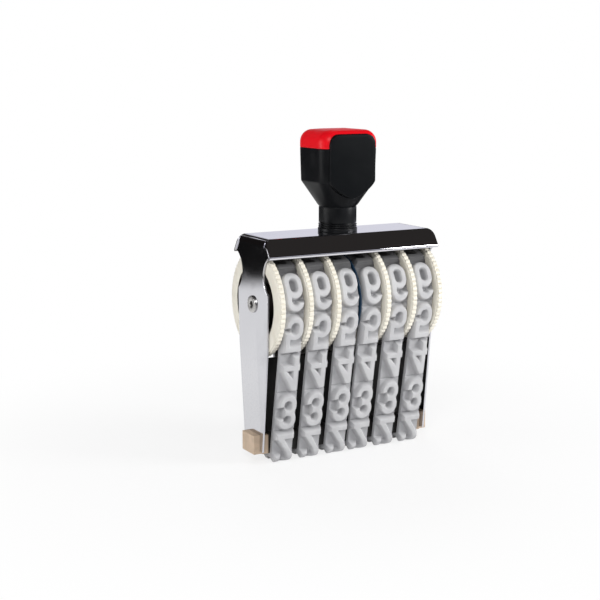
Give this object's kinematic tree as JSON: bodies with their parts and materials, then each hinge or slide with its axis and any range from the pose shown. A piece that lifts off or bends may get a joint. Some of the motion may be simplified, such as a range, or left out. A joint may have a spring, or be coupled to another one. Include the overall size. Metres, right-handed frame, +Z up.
{
  "type": "numbering machine",
  "caption": "Hand numbering machine: endless rubber digit bands on knurled thumb wheels in a chromed bracket with folded cover, anvil and upright grip.",
  "frame": {"origin": "in the printing plane under the middle of the machine", "axes": "+X along the axle to the right, +Y to the back, +Z up the handle"},
  "size_m": [0.1016, 0.0528, 0.1623],
  "materials": {
    "bracket_chrome": "bright",
    "cover_chrome": "bright",
    "axle_steel": "turned",
    "disc_blue": "gloss",
    "anvil_cast": "cast",
    "wheel_cream": "satin",
    "band_rubber": "matt",
    "fastener_steel": "plated",
    "neck_black": "satin",
    "grip_black": "satin",
    "panel_black": "gloss",
    "cap_red": "gloss"
  },
  "bodies": {
    "frame": {"frame_bracket": "bracket_chrome", "top_cover": "cover_chrome", "axle": "axle_steel", "centre_disc": "disc_blue", "anvil": "anvil_cast", "band_1": "band_rubber", "band_2": "band_rubber", "band_3": "band_rubber", "band_4": "band_rubber", "band_5": "band_rubber", "band_6": "band_rubber", "handle_screw": "fastener_steel", "handle_washer": "fastener_steel", "neck_collar": "neck_black", "neck_sleeve": "neck_black", "handle_body": "grip_black", "handle_panel": "panel_black", "handle_cap": "cap_red"},
    "thumb_wheel_1": {"wheel_1": "wheel_cream"},
    "thumb_wheel_2": {"wheel_2": "wheel_cream"},
    "thumb_wheel_3": {"wheel_3": "wheel_cream"},
    "thumb_wheel_4": {"wheel_4": "wheel_cream"},
    "thumb_wheel_5": {"wheel_5": "wheel_cream"},
    "thumb_wheel_6": {"wheel_6": "wheel_cream"}
  },
  "joints": [
    {"name": "wheel_1_spin", "type": "hinge", "parent": "frame", "child": "thumb_wheel_1", "pos_m": [-0.0448, 0, 0.0786], "axis": [1, 0, 0], "continuous": true},
    {"name": "wheel_2_spin", "type": "hinge", "parent": "frame", "child": "thumb_wheel_2", "pos_m": [-0.0295, 0, 0.0786], "axis": [1, 0, 0], "continuous": true},
    {"name": "wheel_3_spin", "type": "hinge", "parent": "frame", "child": "thumb_wheel_3", "pos_m": [-0.0143, 0, 0.0786], "axis": [1, 0, 0], "continuous": true},
    {"name": "wheel_4_spin", "type": "hinge", "parent": "frame", "child": "thumb_wheel_4", "pos_m": [0.0143, 0, 0.0786], "axis": [1, 0, 0], "continuous": true},
    {"name": "wheel_5_spin", "type": "hinge", "parent": "frame", "child": "thumb_wheel_5", "pos_m": [0.0295, 0, 0.0786], "axis": [1, 0, 0], "continuous": true},
    {"name": "wheel_6_spin", "type": "hinge", "parent": "frame", "child": "thumb_wheel_6", "pos_m": [0.0448, 0, 0.0786], "axis": [1, 0, 0], "continuous": true}
  ]
}
